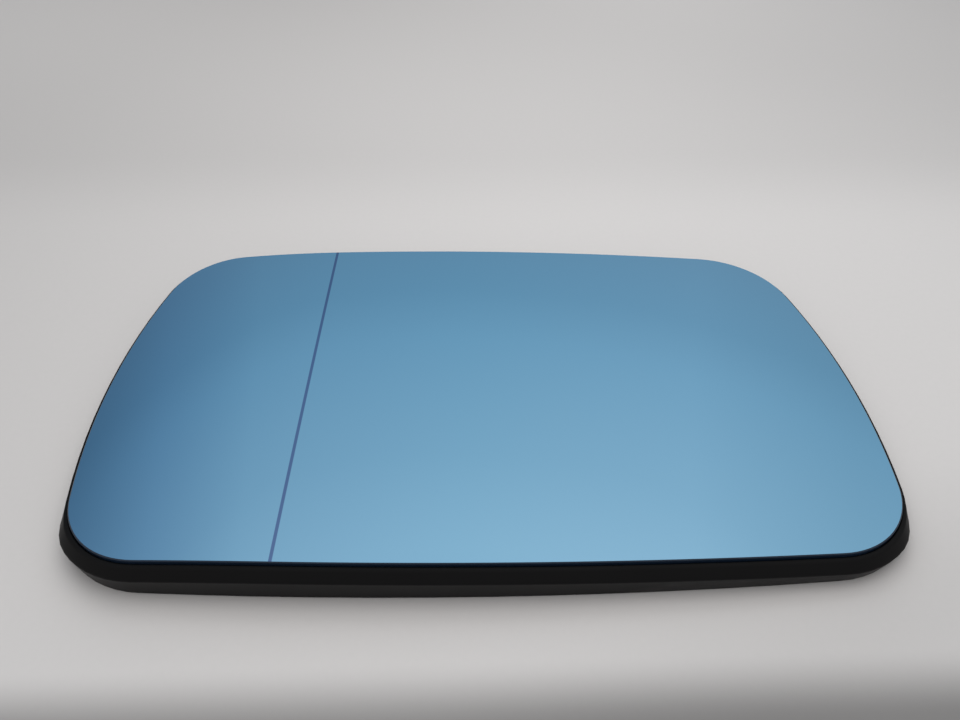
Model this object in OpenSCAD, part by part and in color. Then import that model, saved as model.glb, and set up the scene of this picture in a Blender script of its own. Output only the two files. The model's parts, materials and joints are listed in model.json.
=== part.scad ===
// Glass of a left-hand door mirror on its moulded backing plate, millimetres.
//
// It lies on its back as in the photograph: z = 0 is the floor under the foot of the plate,
// +z is the way the mirror faces, +y is its upper edge and -x is its outer end, where a fine
// line parts the gently domed main zone from the more strongly curved outer zone.
// Everything is measured inwards from one outline and down from one domed face.

/* [Mirror glass] */
// distance between the side edges of the glass, without the bulge of the sides
glass_w = 157.9; // [140:0.1:200]
// distance between the upper and lower edge of the glass, without their bulge
glass_h = 95.5; // [85:0.1:130]
// thickness of the glass pane
glass_t = 1.9; // [1.5:0.1:3]
// width of the ground bevel round the front of the glass
glass_bevel = 0.2; // [0.1:0.05:0.5]
// radius of the dome over the main zone
main_r = 2400; // [1800:50:3000]
// radius of the outer zone
outer_r = 450; // [350:10:900]
// the dividing line stands this far from the middle, towards the outer end
line_off = 39.5; // [25:0.5:55]
// width of the dividing line
line_w = 0.8; // [0.4:0.1:1.5]
// depth of the dividing line
line_d = 0.12; // [0.05:0.01:0.3]

/* [Outline] */
// the lower edge is this much longer than the mean of both edges
taper_low = 5.3; // [0:0.1:12]
// the lower edge is shifted this far towards the inner end
skew_low = 1.6; // [-4:0.1:4]
// the upper edge is shifted this far towards the inner end
skew_top = -1.5; // [-4:0.1:4]
// rise of the lower edge from its outer to its inner corner
rise_low = 2.5; // [0:0.1:6]
// bulge of the lower edge
bulge_low = 3.2; // [1:0.1:8]
// bulge of the inner side
bulge_in = 6.2; // [2:0.1:12]
// bulge of the upper edge
bulge_top = 2.4; // [1:0.1:8]
// bulge of the outer side
bulge_out = 7.1; // [2:0.1:12]
// radius of the lower outer corner
round_low_out = 19; // [12:0.1:26]
// radius of the lower inner corner
round_low_in = 18.3; // [12:0.1:26]
// radius of the upper inner corner
round_top_in = 21.4; // [12:0.1:26]
// radius of the upper outer corner
round_top_out = 18.2; // [12:0.1:26]

/* [Backing plate] */
// height of the highest point of the glass above the floor
face_z = 9; // [8.6:0.1:12]
// the top of the rim lies this far under the face of the glass
ledge_drop = 0.8; // [0.4:0.05:1.2]
// width of the flat ledge under the lower edge of the glass
ledge_low = 1.1; // [0.9:0.1:1.8]
// width of the flat ledge along the sides and the upper edge
ledge_side = 0.8; // [0.7:0.05:1]
// the widest line of the rim stands this far outside the lower edge of the glass
wide_low = 2.9; // [2.2:0.1:4]
// the widest line stands this far outside the sides and the upper edge
wide_side = 1.3; // [1.2:0.1:2.6]
// the rim starts to widen this far below the middle of the glass
grow_from = 33; // [10:1:38]
// the rim has its full width this far below the middle of the glass
grow_to = 43; // [42:1:50]
// depth of the widest line of the rim under the edge of the glass
wide_drop = 2.5; // [1.7:0.1:3.4]
// the foot of the rim stands this far outside the lower edge of the glass
foot_low = 2.1; // [1.2:0.1:2.2]
// the foot stands this far outside the sides and the upper edge
foot_side = 1; // [0.9:0.05:1.2]
// radius that rounds the widest line and the edges of the ledge
rim_round = 0.35; // [0.1:0.05:0.5]
// thickness of the floor of the plate
floor_t = 1.5; // [1.2:0.1:2]

/* [Clip ring on the back] */
// inner radius of the clip ring
ring_r = 29; // [22:0.5:34]
// thickness of the wall of the ring
ring_t = 1.6; // [1.2:0.1:2.5]
// number of snap hooks on the ring
hook_n = 4; // [3:1:6]
// angle that one hook covers
hook_arc = 20; // [12:1:24]
// angle of the slot on each side of a hook
slot_arc = 3; // [2:0.5:6]
// reach of the barb of a hook
barb = 1.1; // [0.6:0.1:1.8]
// height of the barb
barb_h = 1.2; // [0.8:0.1:2]
// depth to which the window of a barb is let into the ring
hook_relief = 0.3; // [0.1:0.1:0.8]
// radius of the bore in the middle collar
bore_r = 5; // [3:0.1:8]
// thickness of the wall of the collar
collar_t = 2; // [1.2:0.1:3]
// thickness of the floor over the middle of the bore
bore_skin = 0.8; // [0.5:0.1:1.1]
// width of the key beside the collar that stops the plate from turning
key_w = 5; // [3:0.5:8]
// length of the key
key_l = 7; // [4:0.5:10]

/* [Ribs on the back] */
// thickness of a rib
rib_t = 1.2; // [0.8:0.1:2]
// number of ribs that run out from the clip ring
rib_n = 12; // [6:1:20]
// the outer rib stands this far inside the glass edge
rib_in = 12; // [8:0.5:18]
// the ribs and hooks end this far above the floor
lift = 0.5; // [0.3:0.1:1]

/* [Heater] */
// thickness of the heater film
film_t = 0.3; // [0.25:0.05:0.5]
// the film stands this far inside the glass edge
film_in = 3; // [2:0.5:6]
// thickness of the printed tracks
track_t = 0.12; // [0.08:0.01:0.2]
// width of the two main tracks
bus_w = 3; // [2:0.1:5]
// the main tracks stand this far inside the glass edge
bus_in = 9; // [7:0.5:14]
// width of a finger track
finger_w = 1.2; // [0.8:0.1:2]
// distance from one finger track to the next
finger_step = 6.5; // [5:0.5:10]
// room between the end of a finger and the other main track
finger_gap = 4; // [2:0.5:8]
// thickness of the foam pad
foam_t = 0.6; // [0.5:0.1:1]
// the foam pad stands this far inside the glass edge
foam_in = 4; // [2:0.5:8]

/* [Terminals] */
// the two terminals stand this far from the middle, towards the inner end
term_x = 50; // [44:0.5:60]
// distance between the two terminals
term_step = 12; // [10:0.5:16]
// the pads stand this far under the middle line
term_y = 14; // [8:0.5:20]
// length and width of a terminal pad
pad_l = 7; // [6:0.5:9]
// width of a terminal blade
blade_w = 6.3; // [4:0.1:7]
// length of a terminal blade
blade_l = 8; // [6:0.5:10]
// thickness of a terminal
blade_t = 0.8; // [0.5:0.1:1]
// thickness of a terminal pad
pad_t = 0.5; // [0.3:0.1:0.5]
// radius of the hole in a blade
blade_hole_r = 0.8; // [0.5:0.1:1.2]
// height of the blade above the floor
blade_z = 0.8; // [0.5:0.1:2]
// radius of a rivet head
rivet_r = 1.7; // [1.2:0.1:2.2]
// radius of a rivet shank
shank_r = 0.9; // [0.6:0.1:1.1]
// thickness of a rivet head
rivet_t = 0.5; // [0.3:0.1:0.8]
// thickness of the guard wall round the terminal window
guard_t = 1.2; // [0.8:0.1:2]

/* [Fits] */
// clearance between the glass edge and the wall of its pocket
edge_gap = 0.15; // [0.05:0.05:0.4]
// clearance round a terminal in its window
window_gap = 1.5; // [1:0.1:3]
// clearance of the barb window round a hook
barb_gap = 0.4; // [0.2:0.1:1]

/* [Hidden] */

side_n = 12;
round_n = 12;
fine = 1440;
arc = 96;
seat = 0.01;

film_d = glass_t;
foam_d = film_d + film_t;
pocket_d = foam_d + foam_t;
under_d = pocket_d + floor_t;
line_x = -line_off;
reach = glass_w;
wedge = 2.85;
deep = 40;
tall = 30;

corner = [
  [-(glass_w + taper_low) / 2 + skew_low, -(glass_h + rise_low) / 2],
  [(glass_w + taper_low) / 2 + skew_low, -(glass_h - rise_low) / 2],
  [(glass_w - taper_low) / 2 + skew_top, glass_h / 2],
  [-(glass_w - taper_low) / 2 + skew_top, glass_h / 2]];
bulge = [bulge_low, bulge_in, bulge_top, bulge_out];
round_r = [round_low_out, round_low_in, round_top_in, round_top_out];

// radius of the arc from p to q that bulges by s
function arc_r(p, q, s) = (norm(q - p) * norm(q - p) / 4 + s * s) / (2 * s);

// centre of that arc, for points that run anticlockwise round the outline
function arc_c(p, q, s) =
  (p + q) / 2 + (arc_r(p, q, s) - s) / norm(q - p) * [p[1] - q[1], q[0] - p[0]];

side_r = [for (i = [0:3]) arc_r(corner[i], corner[(i + 1) % 4], bulge[i])];
side_c = [for (i = [0:3]) arc_c(corner[i], corner[(i + 1) % 4], bulge[i])];

// the point near p that lies a from c1 and b from c2
function meet(c1, a, c2, b, p) =
  let (d = norm(c2 - c1))
  let (e = (c2 - c1) / d)
  let (m = (a * a - b * b + d * d) / (2 * d))
  let (h = sqrt(max(a * a - m * m, 0)))
  let (k1 = c1 + m * e + h * [-e[1], e[0]])
  let (k2 = c1 + m * e - h * [-e[1], e[0]])
  norm(k1 - p) < norm(k2 - p) ? k1 : k2;

round_c = [for (i = [0:3])
  meet(side_c[(i + 3) % 4], side_r[(i + 3) % 4] - round_r[i], side_c[i], side_r[i] - round_r[i],
    corner[i])];

function heading(v) = atan2(v[1], v[0]);
function turn(a, b) = (b - a) - 360 * round((b - a) / 360);
function on_arc(c, r, a) = c + r * [cos(a), sin(a)];

// angles at which the side i starts and ends
function side_a(i) = heading(round_c[i] - side_c[i]);
function side_b(i) = heading(round_c[(i + 1) % 4] - side_c[i]);

// the side i and the corner after it, moved inwards by d
function side_points(i, d) =
  let (a = side_a(i))
  let (s = turn(a, side_b(i)))
  [for (k = [0:side_n - 1]) on_arc(side_c[i], side_r[i] - d, a + s * k / side_n)];
function round_points(i, d) =
  let (j = (i + 1) % 4)
  let (a = side_b(i))
  let (s = turn(a, side_a(j)))
  [for (k = [0:round_n - 1]) on_arc(round_c[j], round_r[j] - d, a + s * k / round_n)];
function loop(d) = [for (i = [0:3]) each concat(side_points(i, d), round_points(i, d))];

// share of the growth of the rim that a point of the outline has reached
function grown(p) =
  let (s = min(max((-p[1] - grow_from) / (grow_to - grow_from), 0), 1))
  s * s * (3 - 2 * s);
function mix(a, b, s) = a + (b - a) * s;

edge = loop(0);
outward = loop(-1) - edge;
edge_n = len(edge);
growth = [for (p = edge) grown(p)];
widest = [for (i = [0:edge_n - 1]) edge[i] + outward[i] * mix(wide_side, wide_low, growth[i])];

// the plate is centred on the origin
box_x = [for (p = widest) p[0]];
box_y = [for (p = widest) p[1]];
mid = [(max(box_x) + min(box_x)) / 2, (max(box_y) + min(box_y)) / 2];

// outline of the glass moved inwards by d
function outline(d) = [for (p = loop(d)) p - mid];

// distance that the face lies under its highest point
function drop(p) =
  let (u = p[0] - line_x)
  let (r = u > 0 ? main_r : outer_r)
  let (rho = main_r - r + sqrt(r * r - u * u))
  main_r - sqrt(rho * rho - p[1] * p[1]);

// where a list of points is crossed by the line x = v or y = v
function crossings(pts, axis, v) =
  [for (i = [0:len(pts) - 1])
    let (a = pts[i])
    let (b = pts[(i + 1) % len(pts)])
    if ((a[axis] - v) * (b[axis] - v) < 0)
      a[1 - axis] + (b[1 - axis] - a[1 - axis]) * (v - a[axis]) / (b[axis] - a[axis])];

// section of everything that lies more than d under the face, spun by under()
module section(d) {
  intersection() {
    circle(main_r - d, $fn = fine);
    translate([main_r - deep, -reach]) square([2 * deep, reach]);
  }
  intersection() {
    translate([main_r - outer_r, 0]) circle(outer_r - d, $fn = fine);
    translate([main_r - deep, 0]) square([2 * deep, reach]);
  }
}

module spin() {
  translate([line_x, 0, face_z - main_r])
    rotate([0, -90, 0])
      rotate([0, 0, -wedge / 2])
        rotate_extrude(angle = wedge, $fn = fine) children();
}

// everything that lies more than d under the face
module under(d) {
  spin() section(d);
}

// the layer from depth a to depth b under the face
module layer(a, b) {
  spin() difference() {
    section(a);
    section(b);
  }
}

module slab(d, z0, z1) {
  translate([0, 0, z0]) linear_extrude(z1 - z0) polygon(outline(d));
}

// the faces between each ring of n points and the next of m rings
function ring_faces(n, m) = [for (j = [0:m - 1], i = [0:n - 1]) each
  let (k = (i + 1) % n)
  let (l = (j + 1) % m)
  [[j * n + i, l * n + i, l * n + k], [j * n + i, l * n + k, j * n + k]]];

// closed band between rings of points, the last ring joined to the first
module band(stack) {
  polyhedron(points = [for (r = stack) each r], faces = ring_faces(len(stack[0]), len(stack)));
}

// height of the face over a point of the outline
function edge_z(p) = face_z - drop(p);
function wide_z(p) = edge_z(p) - wide_drop;
function lifted(pts, z) = [for (p = pts) [p[0], p[1], z]];

// section of the rim at point i: distance outside the glass and height over the floor
function rim_section(i) =
  let (w = wide_z(spine[i]))
  let (t = edge_z(spine[i]) - ledge_drop)
  let (c = rim_round)
  let (foot = mix(foot_side, foot_low, growth[i]))
  let (wide = mix(wide_side, wide_low, growth[i]))
  let (ledge = mix(ledge_side, ledge_low, growth[i]))
  let (b = [wide - ledge, w - t] / norm([wide - ledge, w - t]))
  [[edge_gap, 0], [foot - c, 0], [foot, c], [wide - c / 6, w - c],
   [wide, w - c / 4], [wide - c / 5, w + c / 3], [wide - 1.5 * c * b[0], w - 1.5 * c * b[1]],
   [ledge + c * b[0], t + c * b[1]], [ledge, t - c / 5], [ledge - c, t],
   [edge_gap + c / 2, t], [edge_gap, t - c / 2]];

spine = outline(0);
sections = [for (i = [0:edge_n - 1]) rim_section(i)];
rim_n = len(sections[0]);
function rim_ring(j) =
  [for (i = [0:edge_n - 1]) [each (spine[i] + outward[i] * sections[i][j][0]), sections[i][j][1]]];

// rim of the plate: foot, skirt, widest line, bevel, ledge and the wall of the pocket
module rim() {
  band([for (j = [0:rim_n - 1]) rim_ring(j)]);
}

// the domed floor, let into the rim
module plate_floor() {
  intersection() {
    slab((edge_gap - foot_side) / 2, 0, tall);
    layer(pocket_d, under_d);
  }
}

// a flat shape that stands on the back of the floor and ends at height z0
module on_back(z0) {
  intersection() {
    translate([0, 0, z0]) linear_extrude(tall) children();
    under(under_d - floor_t / 2);
  }
}

module hook_places() {
  for (k = [0:hook_n - 1])
    rotate([0, 0, (k + 0.5) * 360 / hook_n]) children();
}

// flat sector from radius r0 to r1 round the x axis direction
module sector(r0, r1, a) {
  difference() {
    intersection() {
      circle(r1, $fn = arc);
      polygon([[0, 0], 2 * r1 * [cos(a / 2), -sin(a / 2)], 2 * r1 * [cos(a / 2), sin(a / 2)]]);
    }
    circle(r0, $fn = arc);
  }
}

// outer ring of the clip with a slot on both sides of every hook
module ring_flat() {
  difference() {
    circle(ring_r + ring_t, $fn = arc);
    circle(ring_r, $fn = arc);
    hook_places()
      for (s = [-1, 1])
        rotate([0, 0, s * (hook_arc + slot_arc) / 2]) sector(ring_r - 1, ring_r + ring_t + 1, slot_arc);
  }
}

// barb that snaps over the edge of the actuator plate
module barb_solid() {
  rotate([0, 0, -hook_arc / 2])
    rotate_extrude(angle = hook_arc, $fn = arc)
      polygon([[ring_r + ring_t / 2, lift], [ring_r, lift], [ring_r - barb, lift + barb_h / 2],
        [ring_r - barb, lift + barb_h], [ring_r + ring_t / 2, lift + barb_h]]);
}

// opening in the floor that the mould tool for a barb passes through
module barb_window() {
  rotate([0, 0, barb_gap - hook_arc / 2])
    rotate_extrude(angle = hook_arc - 2 * barb_gap, $fn = arc)
      translate([ring_r - barb - barb_gap, lift + barb_h + barb_gap])
        square([barb + barb_gap + hook_relief, tall]);
}

function rib_angle(k) = k * 360 / rib_n;
function hook_step(a) = abs(turn(0, a - (floor(a / (360 / hook_n)) + 0.5) * 360 / hook_n));
function rib_free(a) = hook_step(a) >= hook_arc / 2 + slot_arc + 2;

module ribs_flat() {
  intersection() {
    for (k = [0:rib_n - 1])
      if (rib_free(rib_angle(k)))
        rotate([0, 0, rib_angle(k)])
          translate([ring_r + ring_t / 2, -rib_t / 2]) square([reach, rib_t]);
    polygon(outline((edge_gap - foot_side) / 2));
  }
  difference() {
    polygon(outline(rib_in));
    polygon(outline(rib_in + rib_t));
  }
}

// the key is a web that stands out from the collar
module key_flat() {
  translate([-(bore_r + collar_t / 2 + key_l), -key_w / 2]) square([collar_t / 2 + key_l, key_w]);
}

window_x = term_step + blade_w + 2 * window_gap;
// the blades tilt with the film by this much over half their width
blade_tilt = (blade_w / 2 + 1) * (term_x - line_x) / main_r;
window_y = pad_l + blade_l + 2 * window_gap;

module window_flat(d) {
  translate([term_x - window_x / 2 - d, -term_y - pad_l / 2 - window_gap - d])
    square([window_x + 2 * d, window_y + 2 * d]);
}

// height of the flat end of the bore
bore_end = face_z - drop([0, 0]) - pocket_d - bore_skin;

module backing_plate() {
  color([0.06, 0.06, 0.065]) difference() {
    union() {
      rim();
      plate_floor();
      on_back(lift) {
        ring_flat();
        circle(bore_r + collar_t, $fn = arc);
        key_flat();
        difference() {
          ribs_flat();
          window_flat(guard_t / 2);
        }
        window_flat(guard_t);
      }
      hook_places() barb_solid();
    }
    translate([0, 0, -1]) cylinder(1 + bore_end, r = bore_r, $fn = arc);
    translate([0, 0, -1]) linear_extrude(tall) window_flat(0);
    hook_places() barb_window();
  }
}

// the pane before it is domed, with the ground bevel round its front
module pane() {
  n = len(spine);
  flank = [for (p = spine) [p[0], p[1], edge_z(p) - glass_bevel]];
  slope = [for (p = outline(2 * glass_bevel)) [p[0], p[1], edge_z(p) + glass_bevel]];
  walls = [for (f = ring_faces(n, 3)) if (max(f) - min(f) < 2 * n) f];
  base = [for (i = [0:n - 1]) [i, (i + 1) % n, 3 * n]];
  cap = [for (i = [0:n - 1]) [2 * n + i, 3 * n + 1, 2 * n + (i + 1) % n]];
  intersection() {
    polyhedron(points = concat(lifted(spine, 0), flank, slope, [[0, 0, 0], [0, 0, face_z + 4]]),
      faces = concat(walls, base, cap));
    layer(0, glass_t);
  }
}

module mirror_glass() {
  color([0.42, 0.6, 0.72]) difference() {
    pane();
    intersection() {
      translate([line_x - line_w / 2, -reach, 0]) cube([line_w, 2 * reach, tall]);
      layer(-1, line_d);
    }
  }
}

function tracks_low(x) = min(crossings(outline(bus_in + bus_w), 0, x)) + finger_gap;
function tracks_top(x) = max(crossings(outline(bus_in + bus_w), 0, x)) - finger_gap;

// the finger k belongs to the lower main track when k is even
function finger_x(k) = line_x + (k + 0.5) * finger_step;
finger_reach = glass_w / 2 - bus_in - bus_w - finger_gap;
finger_k = ceil((-finger_reach - line_x) / finger_step - 0.5);
finger_m = floor((finger_reach - line_x) / finger_step - 0.5);
term_room = (term_step + pad_l) / 2 + finger_gap;
lead = [term_x - term_step / 2, term_x + term_step / 2];

module finger(k) {
  x = finger_x(k);
  beside = abs(x - term_x) > term_room;
  low = k % 2 == 0 ? -reach : tracks_low(x);
  top = k % 2 == 0 ? tracks_top(x) : reach;
  if (beside) translate([x - finger_w / 2, low]) square([finger_w, top - low]);
}

// one main track, half of a band that follows the outline
module bus_flat(s) {
  intersection() {
    difference() {
      polygon(outline(bus_in));
      polygon(outline(bus_in + bus_w));
    }
    translate([-reach, s > 0 ? finger_gap : -reach - finger_gap]) square([2 * reach, reach]);
  }
}

module tracks_flat() {
  bus_flat(-1);
  bus_flat(1);
  intersection() {
    polygon(outline(bus_in + bus_w / 2));
    union() {
      for (k = [finger_k:finger_m]) finger(k);
      translate([lead[0] - bus_w / 2, -reach]) square([bus_w, reach - term_y]);
      translate([lead[1] - bus_w / 2, -term_y]) square([bus_w, reach]);
    }
  }
  for (x = lead) translate([x, -term_y]) square([blade_w, pad_l], center = true);
}

// a place on the back of the film, square to the dome
module on_film(x) {
  translate([x, -term_y, face_z - drop([x, -term_y]) - foam_d - seat])
    rotate([asin(term_y / main_r), asin((x - line_x) / main_r), 0]) children();
}

// how far the back of a blade lies under the film
blade_fall = face_z - drop([lead[1], -term_y]) - foam_d - blade_z - blade_tilt;

module shank_holes() {
  for (x = lead) on_film(x) translate([0, 0, -tall / 2]) cylinder(tall, r = shank_r, $fn = arc);
}

// the tracks, or the cut for them, which runs past the back of the film
module printed_tracks(past = 0) {
  intersection() {
    linear_extrude(tall) tracks_flat();
    layer(foam_d - track_t, foam_d + past);
  }
}

module heater_track() {
  color([0.72, 0.73, 0.74]) difference() {
    printed_tracks();
    shank_holes();
  }
}

module heater_film() {
  color([0.14, 0.13, 0.12]) difference() {
    intersection() {
      slab(film_in, 0, tall);
      layer(film_d, foam_d);
    }
    printed_tracks(film_t);
    shank_holes();
  }
}

module foam_pad() {
  color([0.8, 0.8, 0.78]) difference() {
    intersection() {
      slab(foam_in, 0, tall);
      layer(foam_d, pocket_d);
    }
    linear_extrude(tall) window_flat(0);
  }
}

// side view of a terminal: pad, riser and blade
module terminal_side() {
  y0 = -pad_l / 2;
  y1 = pad_l / 2;
  y2 = y1 - blade_t + blade_l;
  z = -blade_fall;
  polygon([[y0, -pad_t], [y1 - blade_t, -pad_t], [y1 - blade_t, z], [y2, z], [y2, z + blade_t],
    [y1, z + blade_t], [y1, 0], [y0, 0]]);
}

// plan view of a terminal with the corners taken off the tip of the blade
module terminal_plan() {
  y0 = -pad_l / 2 - 1;
  y2 = pad_l / 2 - blade_t + blade_l;
  polygon([[-blade_w / 2, y0], [blade_w / 2, y0], [blade_w / 2, y2 - blade_t],
    [blade_w / 2 - blade_t, y2], [blade_t - blade_w / 2, y2], [-blade_w / 2, y2 - blade_t]]);
}

// spade terminal with its pad on the film at x
module terminal(x) {
  color([0.76, 0.7, 0.5]) on_film(x) difference() {
    intersection() {
      translate([-blade_w, 0, 0]) rotate([90, 0, 90]) linear_extrude(2 * blade_w) terminal_side();
      translate([0, 0, -tall]) linear_extrude(2 * tall) terminal_plan();
    }
    translate([0, 0, -tall / 2]) cylinder(tall, r = shank_r, $fn = arc);
    translate([0, (pad_l + blade_l) / 2, -tall / 2]) cylinder(tall, r = blade_hole_r, $fn = arc);
  }
}

module terminal_inner() {
  terminal(lead[1]);
}

module terminal_outer() {
  terminal(lead[0]);
}

// rivet through pad and film, its head on the back of the pad
module rivet(x) {
  color([0.78, 0.78, 0.8]) on_film(x) {
    translate([0, 0, -pad_t - rivet_t / 2])
      cylinder(pad_t + rivet_t / 2 + film_t - seat, r = shank_r, $fn = arc);
    translate([0, 0, -pad_t - rivet_t]) cylinder(rivet_t, r = rivet_r, $fn = arc);
  }
}

module rivet_inner() {
  rivet(lead[1]);
}

module rivet_outer() {
  rivet(lead[0]);
}

backing_plate();
mirror_glass();
heater_film();
heater_track();
foam_pad();
terminal_inner();
terminal_outer();
rivet_inner();
rivet_outer();
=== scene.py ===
"""Glass of a left-hand door mirror on its black backing plate, on its back on a pale floor."""

import json
from math import asin, atan2, cos, hypot, pi, radians, sin, sqrt

import bpy
from bpy.props import FloatProperty, FloatVectorProperty, PointerProperty
from bpy.types import Operator, Panel, PropertyGroup
from mathutils import Matrix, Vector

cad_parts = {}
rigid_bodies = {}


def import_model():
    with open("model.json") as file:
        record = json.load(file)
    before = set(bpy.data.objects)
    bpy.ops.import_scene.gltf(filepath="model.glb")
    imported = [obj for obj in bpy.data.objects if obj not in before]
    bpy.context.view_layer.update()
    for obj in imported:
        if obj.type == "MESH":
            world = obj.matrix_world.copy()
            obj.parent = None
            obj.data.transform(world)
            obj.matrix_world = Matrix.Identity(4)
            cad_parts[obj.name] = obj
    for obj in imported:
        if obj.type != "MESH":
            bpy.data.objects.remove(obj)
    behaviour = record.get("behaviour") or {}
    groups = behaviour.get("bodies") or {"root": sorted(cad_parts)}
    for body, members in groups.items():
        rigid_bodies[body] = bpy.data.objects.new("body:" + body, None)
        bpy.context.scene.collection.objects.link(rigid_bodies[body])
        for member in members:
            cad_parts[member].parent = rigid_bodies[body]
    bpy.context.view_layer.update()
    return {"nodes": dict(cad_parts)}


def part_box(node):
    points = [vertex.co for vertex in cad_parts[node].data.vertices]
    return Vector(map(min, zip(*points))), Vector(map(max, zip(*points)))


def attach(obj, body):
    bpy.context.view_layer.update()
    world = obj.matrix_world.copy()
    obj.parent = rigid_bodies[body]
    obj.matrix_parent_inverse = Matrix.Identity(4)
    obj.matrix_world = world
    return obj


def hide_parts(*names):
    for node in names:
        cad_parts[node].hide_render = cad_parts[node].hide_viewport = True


bl_info = {
    "name": "Door mirror glass",
    "version": (1, 0, 0),
    "blender": (4, 5, 0),
    "location": "View3D > Sidebar > Mirror",
    "description": "Builds a domed door mirror glass on its heated backing plate",
    "category": "Add Mesh",
}

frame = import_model()
MM = 0.001

# vertices nearer than this become one, in a drawn mesh and in a copy of a packed one
NEAR = 0.002 * MM
PACKED_NEAR = 0.001 * MM
# a vertex nearer to the middle plane than this lies on it
ON_PLANE = 0.001 * MM

# edges that turn by more than this stay sharp
GLASS_CREASE = radians(25)
PLATE_CREASE = radians(34)

FLOOR_SIDE = 6.0
SOFTBOX = (0.6, 0.42)
SOFTBOX_COLOUR = (1.0, 0.97, 0.94)

# fades of the floor: a heading on it, where along that heading the fade starts and ends in
# metres, and the share of the tone that is left at its end; the last four rows are the
# rounded result of a fit to measured floor tones, the first two were reworked
# every row is painted shade on the floor's colour, at the front, behind, to the right and to
# the left, save the second, which is painted light that lifts the floor again past the shade
# along the front
FLOOR_PAINTED_SHADE_AND_LIGHT = (
    ((0.025, -1.0, 0), 0.064, 0.077, 0.40),  # shade along the front
    ((0.025, -1.0, 0), 0.080, 0.130, 2.5),  # lighter again past that shade
    ((0.0, 1.0, 0), 0.074, 0.126, 0.90),  # painted shade behind the part
    ((0.45, -0.89, 0), 0.056, 0.090, 0.87),  # painted shade to the front right
    ((0.45, 0.89, 0), 0.095, 0.257, 0.89),  # painted shade to the back right
    ((-0.94, 0.33, 0), -0.024, 0.230, 0.77),  # painted shade to the left
)

# tones of the sky that the glass mirrors, by the height of a direction; these and the next
# are the rounded result of a fit to measured tones of the glass, with their ends given one by
# one
SKY_UP = (
    (0.48, (0.39, 0.43, 0.46)),
    (0.58, (0.43, 0.49, 0.52)),
    (0.64, (0.53, 0.58, 0.60)),
    (0.76, (0.70, 0.69, 0.68)),
    (0.84, (0.89, 0.81, 0.77)),
)
# its tones from left to right, which the first are multiplied with
SKY_ACROSS = (
    (-0.60, (0.31, 0.36, 0.44)),
    (-0.45, (0.53, 0.60, 0.69)),
    (-0.30, (0.72, 0.79, 0.84)),
    (0.0, (0.83, 0.90, 0.93)),
    (0.30, (0.98, 0.99, 1.0)),
    (0.48, (0.88, 0.90, 0.91)),
)
# how far back a direction has to point for them to take over from the even rest of the sky
SKY_BACK = ((0.25, (0, 0, 0)), (0.45, (1, 1, 1)))


class PaneSizes(PropertyGroup):
    """Sizes of the glass."""

    width: FloatProperty(
        name="Width", description="Mean distance between the corners of a long side",
        default=157.9 * MM, unit="LENGTH")
    height: FloatProperty(
        name="Height", description="Distance between the long sides without their bulge",
        default=95.5 * MM, unit="LENGTH")
    taper: FloatProperty(
        name="Taper", description="How much longer the lower side is than the mean",
        default=5.3 * MM, unit="LENGTH")
    skew_low: FloatProperty(
        name="Lower skew", description="Shift of the lower side towards the inner end",
        default=1.6 * MM, unit="LENGTH")
    skew_top: FloatProperty(
        name="Upper skew", description="Shift of the upper side towards the inner end",
        default=-1.5 * MM, unit="LENGTH")
    rise: FloatProperty(
        name="Rise", description="Rise of the lower side towards the inner end",
        default=2.5 * MM, unit="LENGTH")
    bulge: FloatVectorProperty(
        name="Bulge", description="Bulge of the lower, inner, upper and outer side",
        size=4, default=(3.2 * MM, 6.2 * MM, 2.4 * MM, 7.1 * MM), unit="LENGTH")
    rounding: FloatVectorProperty(
        name="Corner radius",
        description="Radius of the corners, anticlockwise from the lower outer one",
        size=4, default=(19.0 * MM, 18.3 * MM, 21.4 * MM, 18.2 * MM), unit="LENGTH")
    thickness: FloatProperty(
        name="Thickness", description="Thickness of the pane",
        default=1.9 * MM, unit="LENGTH")
    bevel: FloatProperty(
        name="Ground bevel", description="Width of the ground bevel round the front",
        default=0.2 * MM, unit="LENGTH")
    main_radius: FloatProperty(
        name="Main dome radius", description="Radius of the dome of the main zone",
        default=2.4, unit="LENGTH")
    outer_radius: FloatProperty(
        name="Outer dome radius", description="Radius of the outer zone",
        default=0.45, unit="LENGTH")
    line: FloatProperty(
        name="Dividing line", description="Distance of the dividing line from the middle",
        default=39.5 * MM, unit="LENGTH")
    line_width: FloatProperty(
        name="Line width", description="Width of the dividing line",
        default=0.8 * MM, unit="LENGTH")
    cell: FloatProperty(
        name="Cell", description="Size of the faces that carry the dome",
        default=3.0 * MM, unit="LENGTH")


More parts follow.
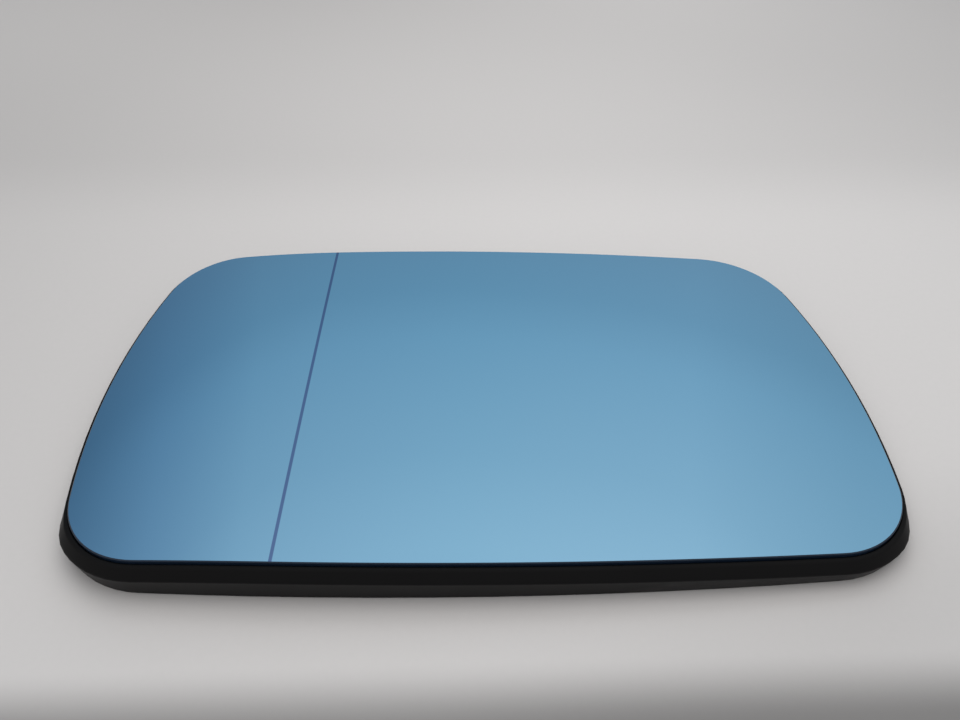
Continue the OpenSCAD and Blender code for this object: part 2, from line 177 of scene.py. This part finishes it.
class Looks(PropertyGroup):
    """Colours and finishes."""

    tint: FloatVectorProperty(
        name="Mirror tint", description="Colour that the mirror gives its reflection",
        size=3, subtype="COLOR", default=(0.30, 0.60, 0.86))
    line: FloatVectorProperty(
        name="Dividing line", description="Mirror colour in the dividing line",
        size=3, subtype="COLOR", default=(0.14, 0.24, 0.47))
    edge: FloatVectorProperty(
        name="Ground edge", description="Colour of the ground edge of the glass",
        size=3, subtype="COLOR", default=(0.010, 0.022, 0.045))
    plastic: FloatVectorProperty(
        name="Plate plastic", description="Colour of the moulded plate",
        size=3, subtype="COLOR", default=(0.006, 0.006, 0.0064))
    plastic_gloss: FloatProperty(
        name="Plate roughness", description="Roughness of the moulded plate",
        default=0.42, min=0, max=1)
    plastic_shine: FloatProperty(
        name="Plate shine", description="Strength of the shine of the plate",
        default=0.108, min=0, max=1)
    film: FloatVectorProperty(
        name="Film", description="Colour of the heater film",
        size=3, subtype="COLOR", default=(0.045, 0.04, 0.036))
    track: FloatVectorProperty(
        name="Tracks", description="Colour of the printed tracks",
        size=3, subtype="COLOR", default=(0.70, 0.71, 0.72))
    foam: FloatVectorProperty(
        name="Foam", description="Colour of the walls between the pores of the foam",
        size=3, subtype="COLOR", default=(0.72, 0.72, 0.70))
    # the darker colour in the middle of the pores is painted shade in their hollows
    pores: FloatVectorProperty(
        name="Foam pores", description="Colour in the middle of the pores of the foam",
        size=3, subtype="COLOR", default=(0.52, 0.52, 0.50))
    terminal: FloatVectorProperty(
        name="Terminals", description="Colour of the spade terminals",
        size=3, subtype="COLOR", default=(0.78, 0.72, 0.52))
    rivet: FloatVectorProperty(
        name="Rivets", description="Colour of the rivets",
        size=3, subtype="COLOR", default=(0.76, 0.76, 0.78))
    floor: FloatVectorProperty(
        name="Floor", description="Colour of the floor",
        size=3, subtype="COLOR", default=(0.717, 0.711, 0.715))


class Studio(PropertyGroup):
    """Camera and light."""

    eye: FloatVectorProperty(
        name="Camera", description="Place of the camera",
        size=3, default=(-0.0005, -0.1373, 0.1375), unit="LENGTH")
    pitch: FloatProperty(
        name="Pitch", description="Angle of the camera under the horizon",
        default=radians(41.975), unit="ROTATION")
    roll: FloatProperty(
        name="Roll", description="Angle by which the camera leans over",
        default=-0.004, unit="ROTATION")
    lens: FloatProperty(
        name="Lens", description="Focal length on a sensor 36 mm wide",
        default=30.8, min=1)
    sky: FloatProperty(
        name="Sky", description="Strength of the world",
        default=1.0, min=0)
    room: FloatVectorProperty(
        name="Room", description="Colour of the even rest of the sky",
        size=3, subtype="COLOR", default=(0.44, 0.433, 0.43))
    backdrop: FloatVectorProperty(
        name="Backdrop", description="Colour behind the floor",
        size=3, subtype="COLOR", default=(0.72, 0.715, 0.71))
    lamp: FloatProperty(
        name="Lamp", description="Power of the soft lamp over the part",
        default=0.8, min=0)
    lamp_place: FloatVectorProperty(
        name="Lamp place", description="Place of the lamp over the part",
        size=3, default=(0.03, -0.05, 0.45), unit="LENGTH")
    window: FloatProperty(
        name="Window", description="Power of the soft light behind the part",
        default=0.9, min=0)
    window_place: FloatVectorProperty(
        name="Window place", description="Place of the light behind the part",
        size=3, default=(-0.08, 0.34, 0.30), unit="LENGTH")
    window_tilt: FloatProperty(
        name="Window tilt", description="Angle by which the light behind leans to the part",
        default=radians(-50), unit="ROTATION")


def start_clean():
    """Leaves edit mode and deselects everything."""
    if bpy.context.object and bpy.context.object.mode != "OBJECT":
        bpy.ops.object.mode_set(mode="OBJECT")
    bpy.ops.object.select_all(action="DESELECT")


def only(obj):
    """Makes obj the one selected object."""
    start_clean()
    obj.select_set(True)
    bpy.context.view_layer.objects.active = obj


def one_vertex(name, place):
    """A new object with a single vertex, left in edit mode, for spin to draw with."""
    start_clean()
    bpy.ops.mesh.primitive_plane_add(size=MM, location=place)
    obj = bpy.context.object
    obj.name = name
    bpy.ops.object.transform_apply(location=True, rotation=True, scale=True)
    bpy.ops.object.mode_set(mode="EDIT")
    bpy.ops.mesh.select_mode(type="VERT")
    bpy.ops.mesh.select_all(action="SELECT")
    bpy.ops.mesh.merge(type="CENTER")
    return obj


def dress(node, material):
    """Gives a CAD node its material on every slot."""
    obj = frame["nodes"][node]
    if not obj.material_slots:
        obj.data.materials.append(material)
    for slot in obj.material_slots:
        slot.material = material


def side_arcs(size):
    """Centre and radius of the lower, inner, upper and outer side, and their four corners."""
    w, h, t = size.width, size.height, size.taper
    corners = [
        (-(w + t) / 2 + size.skew_low, -(h + size.rise) / 2),
        ((w + t) / 2 + size.skew_low, -(h - size.rise) / 2),
        ((w - t) / 2 + size.skew_top, h / 2),
        (-(w - t) / 2 + size.skew_top, h / 2),
    ]
    arcs = []
    for i, bulge in enumerate(size.bulge):
        (px, py), (qx, qy) = corners[i], corners[(i + 1) % 4]
        chord = hypot(qx - px, qy - py)
        radius = (chord * chord / 4 + bulge * bulge) / (2 * bulge)
        reach = (radius - bulge) / chord
        cx, cy = (px + qx) / 2 - (qy - py) * reach, (py + qy) / 2 + (qx - px) * reach
        arcs.append((cx, cy, radius))
    return arcs, corners


def corner_centres(size):
    """The side arcs, and centres of the corner arcs, each touching the sides beside it."""
    arcs, corners = side_arcs(size)
    centres = []
    for i, (cx, cy) in enumerate(corners):
        (ax, ay, ar), (bx, by, br) = arcs[i - 1], arcs[i]
        a, b = ar - size.rounding[i], br - size.rounding[i]
        d = hypot(bx - ax, by - ay)
        ex, ey = (bx - ax) / d, (by - ay) / d
        m = (a * a - b * b + d * d) / (2 * d)
        k = sqrt(max(a * a - m * m, 0))
        mx, my = ax + m * ex, ay + m * ey
        both = [(mx - k * ey, my + k * ex), (mx + k * ey, my - k * ex)]
        centres.append(min(both, key=lambda c: hypot(c[0] - cx, c[1] - cy)))
    return arcs, centres


def turned(a, b):
    """Angle from heading a to heading b, between minus and plus half a turn."""
    return (b - a + pi) % (2 * pi) - pi


def draw_outline(name, size, steps_side=26, steps_corner=18):
    """Draws the outline of the glass with eight spins of one vertex, and fills it."""
    arcs, centres = corner_centres(size)
    cx, cy, radius = arcs[0]
    heading = atan2(centres[0][1] - cy, centres[0][0] - cx)
    obj = one_vertex(name, (cx + radius * cos(heading), cy + radius * sin(heading), 0))
    up = (0, 0, 1)
    for i, (cx, cy, radius) in enumerate(arcs):
        kx, ky = centres[(i + 1) % 4]
        a = atan2(centres[i][1] - cy, centres[i][0] - cx)
        b = atan2(ky - cy, kx - cx)
        side = -turned(a, b)
        bpy.ops.mesh.spin(steps=steps_side, angle=side, center=(cx, cy, 0), axis=up)
        cx, cy, radius = arcs[(i + 1) % 4]
        c = atan2(ky - cy, kx - cx)
        corner = -turned(b, c)
        bpy.ops.mesh.spin(steps=steps_corner, angle=corner, center=(kx, ky, 0), axis=up)
    bpy.ops.mesh.select_all(action="SELECT")
    bpy.ops.mesh.remove_doubles(threshold=NEAR)
    bpy.ops.mesh.edge_face_add()
    bpy.ops.object.mode_set(mode="OBJECT")
    return obj


def cut_cells(obj, cell):
    """Slices a flat piece into cells, so that it can take the dome."""
    low = [min(v.co[k] for v in obj.data.vertices) for k in range(2)]
    high = [max(v.co[k] for v in obj.data.vertices) for k in range(2)]
    only(obj)
    bpy.ops.object.mode_set(mode="EDIT")
    for axis in range(2):
        count = int((high[axis] - low[axis]) / cell)
        for k in range(1, count):
            place, normal = [0, 0, 0], [0, 0, 0]
            place[axis] = low[axis] + (high[axis] - low[axis]) * k / count
            normal[axis] = 1
            bpy.ops.mesh.select_all(action="SELECT")
            bpy.ops.mesh.bisect(plane_co=place, plane_no=normal)
    bpy.ops.object.mode_set(mode="OBJECT")


def dome_form(size, top):
    """The domed face of the glass as a helper sheet: a spun profile, spun lengthwise."""
    # the sheet reaches past the glass: lengthwise by a distance, across it by an angle
    reach, half = 0.1, radians(1.5)
    steps_main, steps_outer, steps_half = 60, 44, 28
    line, main, outer = -size.line, size.main_radius, size.outer_radius
    a, b = asin((reach - line) / main), asin((reach + line) / outer)
    obj = one_vertex("dome_form", (reach, 0, top - main + main * cos(a)))
    for steps, angle, radius in ((steps_main, a, main), (steps_outer, b, outer)):
        centre = (line, 0, top - radius)
        bpy.ops.mesh.spin(steps=steps, angle=angle, center=centre, axis=(0, 1, 0))
    for turn in (half, -half):
        bpy.ops.object.mode_set(mode="OBJECT")
        for v in obj.data.vertices:
            v.select = abs(v.co.y) < ON_PLANE
        bpy.ops.object.mode_set(mode="EDIT")
        centre = (0, 0, top - main)
        bpy.ops.mesh.spin(steps=steps_half, angle=turn, center=centre, axis=(1, 0, 0))
    bpy.ops.mesh.select_all(action="SELECT")
    bpy.ops.mesh.remove_doubles(threshold=NEAR)
    bpy.ops.object.mode_set(mode="OBJECT")
    return obj


def fit_to_dome(obj, form):
    """Projects every vertex of obj straight up on to the dome."""
    wrap = obj.modifiers.new("dome", "SHRINKWRAP")
    wrap.target = form
    wrap.wrap_method = "PROJECT"
    wrap.use_project_z = True
    wrap.use_positive_direction = True
    wrap.use_negative_direction = True
    only(obj)
    bpy.ops.object.modifier_apply(modifier=wrap.name)


def new_material(name):
    """A fresh material, its node tree and its Principled shader."""
    material = bpy.data.materials.new(name)
    material.use_nodes = True
    tree = material.node_tree
    return material, tree, tree.nodes["Principled BSDF"]


def feed(socket, value):
    """Links the socket to the output of another node, or gives it a value."""
    if isinstance(value, bpy.types.NodeSocket):
        socket.id_data.links.new(value, socket)
    elif socket.type == "RGBA":
        socket.default_value = (*value, 1)
    else:
        socket.default_value = value


def add(tree, kind, **inputs):
    """A new node with the named inputs fed; an underscore stands for a blank."""
    node = tree.nodes.new("ShaderNode" + kind)
    for name, value in inputs.items():
        feed(node.inputs[name.replace("_", " ")], value)
    return node


def object_place(tree):
    """The place on the object."""
    return add(tree, "TexCoord").outputs["Object"]


def calculated(tree, kind, operation, *values):
    """Result of a Math or VectorMath node."""
    node = add(tree, kind)
    node.operation = operation
    for socket, value in zip(node.inputs, values):
        feed(socket, value)
    return node.outputs["Value"]


def mixed(tree, factor, a, b, blend="MIX"):
    """Mixes two colours by a factor."""
    node = add(tree, "Mix")
    node.data_type = "RGBA"
    node.blend_type = blend
    for name, value in (("Factor", factor), ("A", a), ("B", b)):
        feed(node.inputs[name], value)
    return node.outputs["Result"]


def noise(tree, place, **inputs):
    """Noise between 0 and 1."""
    return add(tree, "TexNoise", Vector=place, **inputs).outputs["Fac"]


def spread(tree, factor, low, high):
    """Spreads a factor over the range from low to high."""
    return add(tree, "MapRange", Value=factor, To_Min=low, To_Max=high).outputs["Result"]


def ramp(tree, value, stops):
    """Colour that the stops, pairs of a place and a colour, give a value."""
    low, high = stops[0][0], stops[-1][0]
    scale = add(tree, "MapRange", Value=value, From_Min=low, From_Max=high)
    band = add(tree, "ValToRGB", Fac=scale.outputs["Result"])
    marks = band.color_ramp.elements
    while len(marks) < len(stops):
        marks.new(0.5)
    for mark, (at, colour) in zip(marks, stops):
        mark.position = (at - low) / (high - low)
        mark.color = (*colour, 1)
    return band.outputs["Color"]


def bumped(tree, shader, height, **inputs):
    """Gives the shader a bump from a height."""
    bump = add(tree, "Bump", Height=height, **inputs)
    feed(shader.inputs["Normal"], bump.outputs["Normal"])


def shaded(colour, share):
    """A share of a colour."""
    return [c * share for c in colour]


def mirror_material(size, looks):
    """Blue-tinted mirror with the dividing line and faint smears."""
    material, tree, shader = new_material("blue_mirror")
    place = object_place(tree)
    split = add(tree, "SeparateXYZ", Vector=place)
    beside = calculated(tree, "Math", "ADD", split.outputs["X"], size.line)
    # the line starts at its edge and has its full colour a little further in
    edge, core = size.line_width * 0.50, size.line_width * 0.34
    stripe = add(tree, "MapRange", Value=calculated(tree, "Math", "ABSOLUTE", beside),
                 From_Min=edge, From_Max=core).outputs["Result"]
    smear = noise(tree, place, Scale=28, Detail=3)
    feed(shader.inputs["Base Color"], mixed(tree, stripe, looks.tint, looks.line))
    feed(shader.inputs["Roughness"], spread(tree, smear, 0.02, 0.07))
    feed(shader.inputs["Metallic"], 1.0)
    return material


def ground_material(looks):
    """Fine-ground edge of the glass."""
    material, tree, shader = new_material("ground_edge")
    grain = noise(tree, object_place(tree), Scale=5200)
    tone = mixed(tree, grain, shaded(looks.edge, 0.7), shaded(looks.edge, 1.3))
    feed(shader.inputs["Base Color"], tone)
    feed(shader.inputs["Roughness"], 0.35)
    return material


def moulded_material(name, colour, gloss, grain=2600.0, depth=0.01 * MM, shine=0.5):
    """Moulded plastic: a fine grain, uneven gloss and slight changes of tone."""
    material, tree, shader = new_material(name)
    place = object_place(tree)
    cloud = noise(tree, place, Scale=60, Detail=4)
    tone = mixed(tree, cloud, shaded(colour, 0.85), shaded(colour, 1.15))
    feed(shader.inputs["Base Color"], tone)
    feed(shader.inputs["Roughness"], spread(tree, cloud, gloss - 0.05, gloss + 0.07))
    feed(shader.inputs["Specular IOR Level"], shine)
    bumped(tree, shader, noise(tree, place, Scale=grain, Detail=2),
           Strength=0.25, Distance=depth)
    return material


def foam_material(looks):
    """Pale closed-cell foam, with painted shade in the middle of its pores."""
    material, tree, shader = new_material("foam")
    cells = add(tree, "TexVoronoi", Vector=object_place(tree), Scale=2200).outputs["Distance"]
    feed(shader.inputs["Base Color"], mixed(tree, cells, looks.pores, looks.foam))
    feed(shader.inputs["Roughness"], 0.9)
    bumped(tree, shader, cells, Distance=0.05 * MM)
    return material


def metal_material(name, colour, roughness, brush=(1, 1, 1)):
    """Rolled or turned metal with fine marks, which brush draws out where it is under 1."""
    material, tree, shader = new_material(name)
    drawn_out = add(tree, "Mapping", Vector=object_place(tree), Scale=brush)
    marks = noise(tree, drawn_out.outputs["Vector"], Scale=900, Detail=3)
    feed(shader.inputs["Base Color"], mixed(tree, marks, shaded(colour, 0.85), colour))
    feed(shader.inputs["Roughness"], spread(tree, marks, roughness - 0.08, roughness + 0.1))
    feed(shader.inputs["Metallic"], 1.0)
    return material


def floor_material(looks):
    """Pale paper whose colour carries painted shade and painted light, fading towards its
    borders.
    """
    material, tree, shader = new_material("floor_paper")
    place = object_place(tree)
    grain = noise(tree, place, Scale=700, Detail=4)
    colour = mixed(tree, grain, shaded(looks.floor, 0.97), looks.floor)
    # each row multiplies painted shade into the colour; the second row multiplies painted
    # light
    for heading, start, end, left in FLOOR_PAINTED_SHADE_AND_LIGHT:
        along = calculated(tree, "VectorMath", "DOT_PRODUCT", place, heading)
        fade = add(tree, "MapRange", Value=along, From_Min=start, From_Max=end,
                   To_Min=1.0, To_Max=left)
        fade.interpolation_type = "SMOOTHSTEP"
        colour = mixed(tree, 1.0, colour, fade.outputs["Result"], "MULTIPLY")
    feed(shader.inputs["Base Color"], colour)
    feed(shader.inputs["Roughness"], 0.9)
    bumped(tree, shader, grain, Strength=0.2, Distance=0.03 * MM)
    return material


def soft_sky(studio):
    """A pale sky; the part of it that the glass mirrors darkens low down and to the left."""
    world = bpy.data.worlds.new("soft_sky")
    world.use_nodes = True
    tree = world.node_tree
    split = add(tree, "SeparateXYZ", Vector=add(tree, "TexCoord").outputs["Generated"])
    up, across, back = (
        ramp(tree, split.outputs[axis], stops)
        for axis, stops in (("Z", SKY_UP), ("X", SKY_ACROSS), ("Y", SKY_BACK)))
    sky = mixed(tree, back, studio.room, mixed(tree, 1.0, up, across, "MULTIPLY"))
    seen = add(tree, "LightPath").outputs["Is Camera Ray"]
    background = tree.nodes["Background"]
    feed(background.inputs["Color"], mixed(tree, seen, sky, studio.backdrop))
    feed(background.inputs["Strength"], studio.sky)
    return world


class MIRROR_OT_pane(Operator):
    """Builds the domed pane with its ground bevel"""

    bl_idname = "mirror.pane"
    bl_label = "Mirror pane"

    def execute(self, context):
        size, looks = context.scene.mirror_pane, context.scene.mirror_looks
        low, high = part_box("mirror_glass")
        pane = draw_outline("mirror_pane", size)
        found = [min(v.co[k] for v in pane.data.vertices) for k in range(2)]
        only(pane)
        bpy.ops.object.mode_set(mode="EDIT")
        bpy.ops.mesh.select_all(action="SELECT")
        bpy.ops.transform.translate(value=(low[0] - found[0], low[1] - found[1], 0))
        bpy.ops.object.mode_set(mode="OBJECT")
        cut_cells(pane, size.cell)
        form = dome_form(size, high[2])
        fit_to_dome(pane, form)
        bpy.data.objects.remove(form)
        only(pane)
        pane.data.materials.append(mirror_material(size, looks))
        pane.data.materials.append(ground_material(looks))
        bpy.ops.object.mode_set(mode="EDIT")
        bpy.ops.mesh.select_mode(type="FACE")
        bpy.ops.mesh.select_all(action="SELECT")
        bpy.ops.transform.translate(value=(0, 0, -size.thickness))
        for rise in (size.thickness - size.bevel, size.bevel):
            bpy.ops.mesh.extrude_region_move(TRANSFORM_OT_translate={"value": (0, 0, rise)})
        span = [(high[k] - low[k]) / 2 for k in range(2)]
        middle = ((low[0] + high[0]) / 2, (low[1] + high[1]) / 2, 0)
        bpy.ops.transform.resize(
            value=(1 - size.bevel / span[0], 1 - size.bevel / span[1], 1),
            center_override=middle)
        bpy.ops.mesh.select_all(action="INVERT")
        pane.active_material_index = 1
        bpy.ops.object.material_slot_assign()
        bpy.ops.mesh.select_all(action="SELECT")
        bpy.ops.mesh.normals_make_consistent(inside=False)
        bpy.ops.object.mode_set(mode="OBJECT")
        bpy.ops.object.shade_smooth_by_angle(angle=GLASS_CREASE)
        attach(pane, "root")
        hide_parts("mirror_glass")
        return {"FINISHED"}


class MIRROR_OT_plate(Operator):
    """Smooths a copy of the moulded backing plate and gives it its plastic"""

    bl_idname = "mirror.plate"
    bl_label = "Backing plate"

    def execute(self, context):
        looks = context.scene.mirror_looks
        only(frame["nodes"]["backing_plate"])
        bpy.ops.object.duplicate()
        plate = context.object
        plate.name = "moulded_plate"
        bpy.ops.object.parent_clear(type="CLEAR_KEEP_TRANSFORM")
        bpy.ops.object.mode_set(mode="EDIT")
        bpy.ops.mesh.select_all(action="SELECT")
        bpy.ops.mesh.remove_doubles(threshold=PACKED_NEAR)
        bpy.ops.object.mode_set(mode="OBJECT")
        bpy.ops.mesh.customdata_custom_splitnormals_clear()
        bpy.ops.object.shade_smooth_by_angle(angle=PLATE_CREASE)
        plate.data.materials.clear()
        plate.data.materials.append(moulded_material(
            "black_plastic", looks.plastic, looks.plastic_gloss, shine=looks.plastic_shine))
        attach(plate, "root")
        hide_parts("backing_plate")
        return {"FINISHED"}


class MIRROR_OT_heater(Operator):
    """Finishes the heater film, its printed tracks and the foam pad"""

    bl_idname = "mirror.heater"
    bl_label = "Heater and foam"

    def execute(self, context):
        looks = context.scene.mirror_looks
        dress("heater_film", moulded_material(
            "printed_film", looks.film, gloss=0.3, grain=900.0, depth=0.004 * MM))
        dress("heater_track", metal_material("silver_track", looks.track, roughness=0.42))
        dress("foam_pad", foam_material(looks))
        return {"FINISHED"}


class MIRROR_OT_terminals(Operator):
    """Finishes the spade terminals and their rivets"""

    bl_idname = "mirror.terminals"
    bl_label = "Terminals and rivets"

    def execute(self, context):
        looks = context.scene.mirror_looks
        tinned = metal_material("tinned_brass", looks.terminal, 0.3, brush=(1, 0.05, 1))
        plain = metal_material("rivet_metal", looks.rivet, 0.32)
        for end in ("inner", "outer"):
            dress("terminal_" + end, tinned)
            dress("rivet_" + end, plain)
        return {"FINISHED"}


class MIRROR_OT_stage(Operator):
    """Lays the floor and sets up the world, the soft lights and the camera"""

    bl_idname = "mirror.stage"
    bl_label = "Floor, light and camera"

    def execute(self, context):
        looks, studio = context.scene.mirror_looks, context.scene.mirror_studio
        start_clean()
        bpy.ops.mesh.primitive_plane_add(size=FLOOR_SIDE, location=(0, 0, 0))
        floor = context.object
        floor.name = "floor"
        floor.data.materials.append(floor_material(looks))
        context.scene.world = soft_sky(studio)
        for name, place, tilt, power in (
                ("lamp_over", studio.lamp_place, 0, studio.lamp),
                ("lamp_behind", studio.window_place, studio.window_tilt, studio.window)):
            bpy.ops.object.light_add(type="AREA", location=place, rotation=(tilt, 0, 0))
            lamp = context.object
            lamp.name = name
            # the glass mirrors the sky alone, with no hard-edged lamp in it
            lamp.visible_glossy = False
            lamp.data.shape = "RECTANGLE"
            lamp.data.size, lamp.data.size_y = SOFTBOX
            lamp.data.color = SOFTBOX_COLOUR
            lamp.data.energy = power
        bpy.ops.object.camera_add(location=studio.eye)
        camera = context.object
        down = Matrix.Rotation(pi / 2 - studio.pitch, 3, "X")
        camera.rotation_euler = (down @ Matrix.Rotation(studio.roll, 3, "Z")).to_euler()
        camera.data.lens = studio.lens
        camera.data.clip_start = 5 * MM
        context.scene.camera = camera
        context.scene.view_settings.view_transform = "Standard"
        return {"FINISHED"}


class MIRROR_PT_panel(Panel):
    """Lists the steps that build the mirror"""

    bl_label = "Door mirror glass"
    bl_idname = "MIRROR_PT_panel"
    bl_space_type = "VIEW_3D"
    bl_region_type = "UI"
    bl_category = "Mirror"

    def draw(self, context):
        layout = self.layout
        for step in STEPS:
            layout.operator(step)
        for group in ("mirror_pane", "mirror_looks", "mirror_studio"):
            box = layout.box()
            for name in getattr(context.scene, group).bl_rna.properties.keys():
                if name not in ("rna_type", "name"):
                    box.prop(getattr(context.scene, group), name)


CLASSES = (PaneSizes, Looks, Studio, MIRROR_OT_pane, MIRROR_OT_plate, MIRROR_OT_heater,
           MIRROR_OT_terminals, MIRROR_OT_stage, MIRROR_PT_panel)
STEPS = ("mirror.pane", "mirror.plate", "mirror.heater", "mirror.terminals", "mirror.stage")


def register():
    """Registers the classes and hangs the three groups of values on the scene."""
    for item in CLASSES:
        bpy.utils.register_class(item)
    bpy.types.Scene.mirror_pane = PointerProperty(type=PaneSizes)
    bpy.types.Scene.mirror_looks = PointerProperty(type=Looks)
    bpy.types.Scene.mirror_studio = PointerProperty(type=Studio)


def unregister():
    """Takes back what register did, in reverse."""
    del bpy.types.Scene.mirror_studio
    del bpy.types.Scene.mirror_looks
    del bpy.types.Scene.mirror_pane
    for item in reversed(CLASSES):
        bpy.utils.unregister_class(item)


def main():
    """Runs every step in order."""
    register()
    for step in STEPS:
        family, name = step.split(".")
        getattr(getattr(bpy.ops, family), name)()
    start_clean()
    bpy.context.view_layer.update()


if __name__ == "__main__":
    main()
